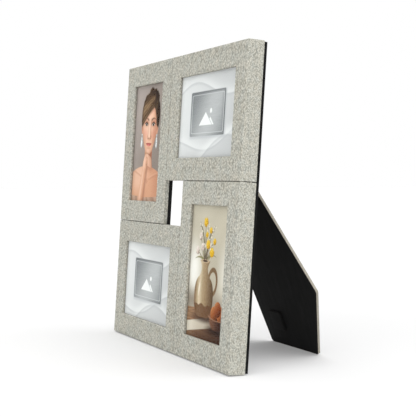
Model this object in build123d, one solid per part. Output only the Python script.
from build123d import *
import math
import os

# Collage photo frame: four picture frames in a pinwheel round a square hole, on one base board, with an
# easel strut hinged to the back. Everything is laid out upright first, with x to the right, y from the
# front face backwards and z up from the bottom edge, and is then leaned back onto its strut.
# Millimetres and degrees.

# Prints and the rails round them
PRINT_SHORT = 100.0
PRINT_LONG = 150.0
LIP_OVERLAP = 5.0
RAIL_WIDTH = 25.0
FACE_THICKNESS = 5.0
RABBET_DEPTH = 1.5
SKIRT_DEPTH = 18.0
SKIRT_THICKNESS = 10.0
OUTER_EDGE_RADIUS = 1.0
SIGHT_EDGE_RADIUS = 0.8
SEAM_GAP = 0.3

# V-nails that pin the mitres from behind
NAIL_THICKNESS = 0.6
NAIL_LEG = 5.0
NAIL_HEIGHT = 3.5
NAIL_SKIRT_DISTANCE = 3.5

# Base board and what lies in its pockets and in the rabbets of the rails
BASE_THICKNESS = 4.5
BASE_CLEARANCE = 0.2
HOLE_STEP = 0.3
POCKET_CLEARANCE = 1.0
GLAZING_CLEARANCE = 0.3
GLASS_THICKNESS = 1.5
PRINT_THICKNESS = 0.3
FINGER_NOTCH_RADIUS = 9.0

# Black strips on the back of the skirts
STRIP_THICKNESS = 3.6
STRIP_INSET = 1.2

# Turn-buttons and screws
BUTTON_WIDTH = 7.0
BUTTON_REACH = 14.0
BUTTON_THICKNESS = 0.8
BUTTON_GAP = 0.1
BUTTON_PIVOT_CLEARANCE = 0.08
SCREW_RADIUS = 1.2
SCREW_HEAD_RADIUS = 2.5
SCREW_HEAD_HEIGHT = 1.5
SCREW_DEPTH = 3.8

# Strut hinge
HINGE_DROP = 33.0
HINGE_MARGIN = 1.0
HINGE_CLEARANCE = 0.3
LEAF_HEIGHT = 20.0
LEAF_THICKNESS = 1.0
KNUCKLE_RADIUS = 2.0
PIN_RADIUS = 1.0
PIN_CLEARANCE = 0.05
PIN_HEAD_RADIUS = 1.6
PIN_HEAD_LENGTH = 0.6
LEAF_HOLE_DROP = 13.0
LEAF_SCREW_SPACING = 26.0
RIVET_SPACING = 14.0
RIVET_RADIUS = 1.5
RIVET_HEAD_RADIUS = 2.8
RIVET_HEAD_HEIGHT = 0.8

# Easel strut, with sideways places counted from the middle of the hinge
LEAN = 3.74
STRUT_OPEN = 24.3
STRUT_TOP_WIDTH = 46.0
STRUT_FOOT_LEFT = 12.0
STRUT_FOOT_WIDTH = 105.0
STRUT_SHOULDER = 159.0
STRUT_SHOULDER_RISE = 79.0
STRUT_CORNER_RADIUS = 4.0
STRUT_BOARD_THICKNESS = 2.6
STRUT_PAPER_THICKNESS = 0.2
STRUT_PAPER_INSET = 0.3
STRUT_STOP_GAP = 0.1
PAD_WIDTH = 26.0
PAD_HEIGHT = 23.0
PAD_THICKNESS = 2.5
PAD_FOOT_LEFT = 21.0
PAD_RISE = 20.5
PAD_CORNER_RADIUS = 1.5

# Sizes that follow from these
WINDOW_SHORT = PRINT_SHORT - 2 * LIP_OVERLAP
WINDOW_LONG = PRINT_LONG - 2 * LIP_OVERLAP
FRAME_SHORT = WINDOW_SHORT + 2 * RAIL_WIDTH
FRAME_LONG = WINDOW_LONG + 2 * RAIL_WIDTH
SIDE = FRAME_SHORT + FRAME_LONG + SEAM_GAP
HALF = SIDE / 2
POCKET_LIP = LIP_OVERLAP + POCKET_CLEARANCE
GLASS_FRONT = FACE_THICKNESS - RABBET_DEPTH
PRINT_FRONT = GLASS_FRONT + GLASS_THICKNESS
BACK_BOARD_FRONT = PRINT_FRONT + PRINT_THICKNESS
BASE_BACK = FACE_THICKNESS + BASE_THICKNESS
SKIRT_INSIDE = HALF - SKIRT_THICKNESS
POCKET_MARGIN = RAIL_WIDTH - POCKET_LIP
OUTER_LAND = POCKET_MARGIN - SKIRT_THICKNESS
BUTTON_FRONT = BASE_BACK + BUTTON_GAP
BUTTON_BACK = BUTTON_FRONT + BUTTON_THICKNESS

# Each picture frame: left, right, bottom and top edge, and the two sides on the outside of the whole
FRAMES = {
    "top_left": (-HALF, FRAME_SHORT - HALF, SIDE - FRAME_LONG, SIDE, ("top", "left")),
    "top_right": (HALF - FRAME_LONG, HALF, SIDE - FRAME_SHORT, SIDE, ("top", "right")),
    "bottom_left": (-HALF, FRAME_LONG - HALF, 0.0, FRAME_SHORT, ("bottom", "left")),
    "bottom_right": (HALF - FRAME_SHORT, HALF, 0.0, FRAME_LONG, ("bottom", "right")),
}

# The turn about the depth axis that carries a top rail to each side
SIDE_TURNS = {"top": 0.0, "right": 90.0, "bottom": 180.0, "left": 270.0}

# Hinge axis and the strut's place on it
HINGE_X = FRAME_SHORT + SEAM_GAP / 2 - HALF
HINGE_Y = BASE_BACK + HINGE_CLEARANCE + KNUCKLE_RADIUS
HINGE_Z = SIDE - HINGE_DROP
HINGE_WIDTH = 2 * POCKET_MARGIN - 2 * HINGE_MARGIN
STRUT_FACE = KNUCKLE_RADIUS + HINGE_CLEARANCE
STRUT_BOARD_FRONT = STRUT_FACE + STRUT_PAPER_THICKNESS
STRUT_BOARD_BACK = STRUT_BOARD_FRONT + STRUT_BOARD_THICKNESS
STRUT_BACK = STRUT_BOARD_BACK + STRUT_PAPER_THICKNESS


def strut_top():
    """Length of the strut above the pin: at the open angle its front top edge meets the base board."""
    opened = math.radians(STRUT_OPEN)
    room = HINGE_Y - BASE_BACK - STRUT_STOP_GAP + STRUT_FACE * math.cos(opened)
    return room / math.sin(opened)


def strut_foot():
    """Distance from the pin down the strut to where its board meets the ground at the open angle."""
    opened = math.radians(STRUT_OPEN)
    slope = math.tan(math.radians(LEAN))
    start_y = HINGE_Y + STRUT_BOARD_FRONT * math.cos(opened)
    start_z = HINGE_Z + STRUT_BOARD_FRONT * math.sin(opened)
    height = start_z - (start_y - SKIRT_DEPTH) * slope
    return height / (math.cos(opened) + math.sin(opened) * slope)


STRUT_TOP = strut_top()
STRUT_FOOT = strut_foot()


def slab(x0, x1, y0, y1, z0, z1):
    """A plain block between six planes."""
    middle = Pos((x0 + x1) / 2, (y0 + y1) / 2, (z0 + z1) / 2)
    return middle * Box(x1 - x0, y1 - y0, z1 - z0)


def rod_y(x, z, radius, y0, y1):
    """A round rod along the depth axis."""
    return Pos(x, (y0 + y1) / 2, z) * Rot(90, 0, 0) * Cylinder(radius, y1 - y0)


def rod_x(y, z, radius, x0, x1):
    """A round rod along the width axis."""
    return Pos((x0 + x1) / 2, y, z) * Rot(0, 90, 0) * Cylinder(radius, x1 - x0)


def flat_face(points, y):
    """A face across the depth axis through the given (x, z) points."""
    return make_face(Polyline(*[(x, y, z) for x, z in points], close=True))


def pull_back(face, depth):
    """A solid pulled from a face backwards along the depth axis."""
    return extrude(face, amount=depth, dir=(0, 1, 0))


def window(name, margin):
    """Left, right, bottom and top of a frame's opening, with its edge this far inside the frame."""
    left, right, bottom, top, _ = FRAMES[name]
    return left + margin, right - margin, bottom + margin, top - margin


def pocket_block(name, clearance, y0, y1):
    """A block that fills a frame's pocket in the base board, less a clearance all round."""
    left, right, bottom, top = window(name, POCKET_MARGIN + clearance)
    return slab(left, right, y0, y1, bottom, top)


def rail_section(is_outer):
    """Rail section as (inward from the edge, depth): a rabbet for the glass, and outside a skirt."""
    points = [(0, 0), (RAIL_WIDTH, 0), (RAIL_WIDTH, GLASS_FRONT)]
    points += [(POCKET_MARGIN, GLASS_FRONT), (POCKET_MARGIN, FACE_THICKNESS)]
    if is_outer:
        points += [(SKIRT_THICKNESS, FACE_THICKNESS), (SKIRT_THICKNESS, SKIRT_DEPTH), (0, SKIRT_DEPTH)]
    else:
        points += [(0, FACE_THICKNESS)]
    section = make_face(Polyline(*points, close=True))
    front = section.vertices().group_by(Axis.Y)[0].sort_by(Axis.X)
    section = fillet(front[0], OUTER_EDGE_RADIUS)
    sight = section.vertices().sort_by(Axis.X).group_by(Axis.X)[-1].sort_by(Axis.Y)[0]
    return fillet(sight, SIGHT_EDGE_RADIUS)


def rail(name, side):
    """One rail: its section run along the side, cut to the mitre and the frame's rounded corners."""
    left, right, bottom, top, outer_sides = FRAMES[name]
    along, across = right - left, top - bottom
    if side in ("left", "right"):
        along, across = across, along
    start = Plane(origin=(-along / 2, 0, across / 2), x_dir=(0, 0, -1), z_dir=(1, 0, 0))
    bar = extrude(start * rail_section(side in outer_sides), amount=along)
    edge = across / 2
    end = along / 2
    inner_edge = edge - RAIL_WIDTH
    inner_end = end - RAIL_WIDTH
    mitre = flat_face([(-end, edge), (end, edge), (inner_end, inner_edge), (-inner_end, inner_edge)], 0)
    outline = Plane.XZ * RectangleRounded(along, across, OUTER_EDGE_RADIUS)
    blank = bar & pull_back(mitre, SKIRT_DEPTH) & pull_back(outline, SKIRT_DEPTH)
    placed = Pos((left + right) / 2, 0, (bottom + top) / 2) * Rot(0, SIDE_TURNS[side], 0) * blank
    for nail in v_nails(name):
        placed = placed - nail
    return placed


def v_nails(name):
    """Four right-angled nails, one across each mitre, flush with the back of the face."""
    left, right, bottom, top = window(name, SKIRT_THICKNESS + NAIL_SKIRT_DISTANCE)
    half = NAIL_THICKNESS / 2
    front = FACE_THICKNESS - NAIL_HEIGHT
    nails = []
    for x, turn_x in ((left, 1), (right, -1)):
        for z, turn_z in ((bottom, 1), (top, -1)):
            reach_x = sorted((x - turn_x * half, x + turn_x * NAIL_LEG))
            reach_z = sorted((z - turn_z * half, z + turn_z * NAIL_LEG))
            level = slab(reach_x[0], reach_x[1], front, FACE_THICKNESS, z - half, z + half)
            upright = slab(x - half, x + half, front, FACE_THICKNESS, reach_z[0], reach_z[1])
            nails.append(level + upright)
    return nails


def button_pivots():
    """Turn-button pivots: one outside each short end of a pocket, and the turn that points it inwards."""
    pivots = {}
    offset = OUTER_LAND / 2
    for name in FRAMES:
        left, right, bottom, top = window(name, POCKET_MARGIN)
        middle_x = (left + right) / 2
        middle_z = (bottom + top) / 2
        if top - bottom > right - left:
            pivots[name + "_upper"] = (middle_x, top + offset, SIDE_TURNS["bottom"])
            pivots[name + "_lower"] = (middle_x, bottom - offset, SIDE_TURNS["top"])
        else:
            pivots[name + "_left"] = (left - offset, middle_z, SIDE_TURNS["right"])
            pivots[name + "_right"] = (right + offset, middle_z, SIDE_TURNS["left"])
    return pivots


def turn_button(x, z, turn):
    """A flat steel button with round ends and a pivot hole, reaching up before it is turned."""
    end = BUTTON_WIDTH / 2
    tip = BUTTON_REACH - end
    plate = slab(-end, end, BUTTON_FRONT, BUTTON_BACK, 0, tip)
    for z_end in (0, tip):
        plate = plate + rod_y(0, z_end, end, BUTTON_FRONT, BUTTON_BACK)
    hole = rod_y(0, 0, SCREW_RADIUS + BUTTON_PIVOT_CLEARANCE, BUTTON_FRONT, BUTTON_BACK)
    return Pos(x, 0, z) * Rot(0, turn, 0) * (plate - hole)


def screw(x, z, seat):
    """A pan-head screw in the base board, with the underside of its head at the given depth."""
    shank = rod_y(x, z, SCREW_RADIUS, BASE_BACK - SCREW_DEPTH, seat)
    return shank + rod_y(x, z, SCREW_HEAD_RADIUS, seat, seat + SCREW_HEAD_HEIGHT)


def leaf_screw_places():
    """Where the screws of the hinge's frame leaf go."""
    z = HINGE_Z - LEAF_HOLE_DROP
    return [(HINGE_X - LEAF_SCREW_SPACING / 2, z), (HINGE_X + LEAF_SCREW_SPACING / 2, z)]


def rivet_places():
    """Where the rivets through the strut leaf go, with the strut flat."""
    z = HINGE_Z - LEAF_HOLE_DROP
    return [(HINGE_X - RIVET_SPACING / 2, z), (HINGE_X + RIVET_SPACING / 2, z)]


def base_board():
    """The board that ties the four frames together, with pockets, the hole and blind screw holes."""
    inside = SKIRT_INSIDE - BASE_CLEARANCE
    board = slab(-inside, inside, FACE_THICKNESS, BASE_BACK, HALF - inside, HALF + inside)
    for name in FRAMES:
        board = board - pocket_block(name, 0, FACE_THICKNESS, BASE_BACK)
    hole = HALF - FRAME_SHORT + HOLE_STEP
    board = board - slab(-hole, hole, FACE_THICKNESS, BASE_BACK, HALF - hole, HALF + hole)
    places = [(x, z) for x, z, _ in button_pivots().values()] + leaf_screw_places()
    for x, z in places:
        board = board - rod_y(x, z, SCREW_RADIUS, BASE_BACK - SCREW_DEPTH, BASE_BACK)
    return board


def rear_strips():
    """Four strips on the back of the skirts, set in from the outside, top and bottom running through."""
    outside = HALF - STRIP_INSET
    y0 = SKIRT_DEPTH
    y1 = SKIRT_DEPTH + STRIP_THICKNESS
    low = (HALF - outside, HALF - SKIRT_INSIDE)
    high = (HALF + SKIRT_INSIDE, HALF + outside)
    return {
        "rear_strip_top": slab(-outside, outside, y0, y1, high[0], high[1]),
        "rear_strip_bottom": slab(-outside, outside, y0, y1, low[0], low[1]),
        "rear_strip_left": slab(-outside, -SKIRT_INSIDE, y0, y1, low[1], high[0]),
        "rear_strip_right": slab(SKIRT_INSIDE, outside, y0, y1, low[1], high[0]),
    }


def back_board(name):
    """A back board flush with the base board, with a finger notch in one long edge."""
    board = pocket_block(name, GLAZING_CLEARANCE, BACK_BOARD_FRONT, BASE_BACK)
    left, right, bottom, top = window(name, POCKET_MARGIN + GLAZING_CLEARANCE)
    if top - bottom > right - left:
        notch = (left, (bottom + top) / 2)
    else:
        notch = ((left + right) / 2, bottom)
    return board - rod_y(notch[0], notch[1], FINGER_NOTCH_RADIUS, BACK_BOARD_FRONT, BASE_BACK)


def knuckle_spans():
    """The hinge's three knuckles along the pin, with a running gap at each side of the middle one."""
    third = HINGE_WIDTH / 6
    gap = HINGE_CLEARANCE / 2
    end = HINGE_WIDTH / 2
    outer_left = (HINGE_X - end, HINGE_X - third - gap)
    middle = (HINGE_X - third + gap, HINGE_X + third - gap)
    outer_right = (HINGE_X + third + gap, HINGE_X + end)
    return [outer_left, outer_right], [middle]


def hinge_leaf(spans, front, back):
    """A leaf hanging below the pin, with knuckles on the given spans, laid flat against the back."""
    end = HINGE_WIDTH / 2
    shoulder = HINGE_Z - KNUCKLE_RADIUS - HINGE_CLEARANCE
    leaf = slab(HINGE_X - end, HINGE_X + end, front, back, HINGE_Z - LEAF_HEIGHT, shoulder)
    for x0, x1 in spans:
        leaf = leaf + slab(x0, x1, front, back, shoulder, HINGE_Z)
        leaf = leaf + rod_x(HINGE_Y, HINGE_Z, KNUCKLE_RADIUS, x0, x1)
    for x0, x1 in spans:
        leaf = leaf - rod_x(HINGE_Y, HINGE_Z, PIN_RADIUS + PIN_CLEARANCE, x0, x1)
    return leaf


def hinge_pin():
    """A pin through all the knuckles with a flat head at each end."""
    end = HINGE_WIDTH / 2 + PIN_CLEARANCE
    pin = rod_x(HINGE_Y, HINGE_Z, PIN_RADIUS, HINGE_X - end, HINGE_X + end)
    pin = pin + rod_x(HINGE_Y, HINGE_Z, PIN_HEAD_RADIUS, HINGE_X - end - PIN_HEAD_LENGTH, HINGE_X - end)
    return pin + rod_x(HINGE_Y, HINGE_Z, PIN_HEAD_RADIUS, HINGE_X + end, HINGE_X + end + PIN_HEAD_LENGTH)


def strut_sheet(front, back, inset):
    """A layer of the strut laid flat against the back: top, slanted right edge, shoulder and foot."""
    top_half = STRUT_TOP_WIDTH / 2
    foot_left = HINGE_X + STRUT_FOOT_LEFT
    top = HINGE_Z + STRUT_TOP
    foot = HINGE_Z - STRUT_FOOT
    points = [
        (HINGE_X - top_half, top),
        (HINGE_X + top_half, top),
        (HINGE_X + STRUT_SHOULDER, foot + STRUT_SHOULDER_RISE),
        (foot_left + STRUT_FOOT_WIDTH, foot),
        (foot_left, foot),
    ]
    outline = flat_face(points, HINGE_Y + front)
    outline = fillet(outline.vertices(), STRUT_CORNER_RADIUS)
    if inset > 0:
        outline = offset(outline, amount=-inset)
    sheet = pull_back(outline, back - front)
    for x, z in rivet_places():
        sheet = sheet - rod_y(x, z, RIVET_RADIUS, HINGE_Y + front, HINGE_Y + back)
    return sheet


def strut_pad():
    """The bumper pad on the strut's front face, low down near the foot."""
    left = HINGE_X + STRUT_FOOT_LEFT + PAD_FOOT_LEFT
    bottom = HINGE_Z - STRUT_FOOT + PAD_RISE
    back = HINGE_Y + STRUT_FACE
    pad = slab(left, left + PAD_WIDTH, back - PAD_THICKNESS, back, bottom, bottom + PAD_HEIGHT)
    return fillet(pad.edges().filter_by(Axis.Y), PAD_CORNER_RADIUS)


def rivet(x, z):
    """A rivet through the strut leaf and the strut, with a flat head on each side."""
    front = HINGE_Y + STRUT_FACE - LEAF_THICKNESS
    back = HINGE_Y + STRUT_BACK
    shank = rod_y(x, z, RIVET_RADIUS, front, back)
    inner = rod_y(x, z, RIVET_HEAD_RADIUS, front - RIVET_HEAD_HEIGHT, front)
    return shank + inner + rod_y(x, z, RIVET_HEAD_RADIUS, back, back + RIVET_HEAD_HEIGHT)


def fixed_nodes():
    """Every node that stays with the frame, upright."""
    nodes = {}
    for name in FRAMES:
        for side in SIDE_TURNS:
            nodes[name + "_" + side + "_rail"] = rail(name, side)
    nodes["mitre_v_nails"] = Compound([nail.solid() for name in FRAMES for nail in v_nails(name)])
    nodes["base_board"] = base_board()
    nodes.update(rear_strips())
    for name in FRAMES:
        nodes["glass_" + name] = pocket_block(name, GLAZING_CLEARANCE, GLASS_FRONT, PRINT_FRONT)
        nodes["print_" + name] = pocket_block(name, POCKET_CLEARANCE, PRINT_FRONT, BACK_BOARD_FRONT)
        nodes["back_board_" + name] = back_board(name)
    seat = BUTTON_BACK + BUTTON_GAP
    pivots = button_pivots()
    nodes["turn_button_screws"] = Compound([screw(x, z, seat).solid() for x, z, _ in pivots.values()])
    outer, _ = knuckle_spans()
    leaf_back = BASE_BACK + LEAF_THICKNESS
    frame_leaf = hinge_leaf(outer, BASE_BACK, leaf_back)
    for x, z in leaf_screw_places():
        frame_leaf = frame_leaf - rod_y(x, z, SCREW_RADIUS, BASE_BACK, leaf_back)
    nodes["hinge_frame_leaf"] = frame_leaf
    nodes["hinge_screws"] = Compound([screw(x, z, leaf_back).solid() for x, z in leaf_screw_places()])
    nodes["hinge_pin"] = hinge_pin()
    return nodes


def button_nodes():
    """The turn-buttons, closed over their back boards."""
    return {"turn_button_" + name: turn_button(*place) for name, place in button_pivots().items()}


def strut_nodes():
    """Every node that moves with the strut, laid flat against the back."""
    _, middle = knuckle_spans()
    leaf_back = HINGE_Y + STRUT_FACE
    leaf = hinge_leaf(middle, leaf_back - LEAF_THICKNESS, leaf_back)
    for x, z in rivet_places():
        leaf = leaf - rod_y(x, z, RIVET_RADIUS, leaf_back - LEAF_THICKNESS, leaf_back)
    return {
        "hinge_strut_leaf": leaf,
        "strut_rivets": Compound([rivet(x, z).solid() for x, z in rivet_places()]),
        "strut_front_paper": strut_sheet(STRUT_FACE, STRUT_BOARD_FRONT, STRUT_PAPER_INSET),
        "strut_board": strut_sheet(STRUT_BOARD_FRONT, STRUT_BOARD_BACK, 0),
        "strut_rear_paper": strut_sheet(STRUT_BOARD_BACK, STRUT_BACK, STRUT_PAPER_INSET),
        "strut_pad": strut_pad(),
    }


def standing_place(shapes):
    """The place that leans the upright model back, with its footprint centred on the origin."""
    leaned = Rot(-LEAN, 0, 0) * Compound([solid for shape in shapes for solid in shape.solids()])
    box = leaned.bounding_box()
    return Pos(0, -(box.min.Y + box.max.Y) / 2, -box.min.Z) * Rot(-LEAN, 0, 0)


HINGE = Pos(0, HINGE_Y, HINGE_Z)
OPENED = HINGE * Rot(STRUT_OPEN, 0, 0) * HINGE.inverse()

nodes = fixed_nodes()
nodes.update(button_nodes())
nodes.update({name: OPENED * shape for name, shape in strut_nodes().items()})
STAND = standing_place(nodes.values())

os.makedirs("parts", exist_ok=True)
for name, shape in nodes.items():
    export_step(STAND * shape, "parts/" + name + ".step")
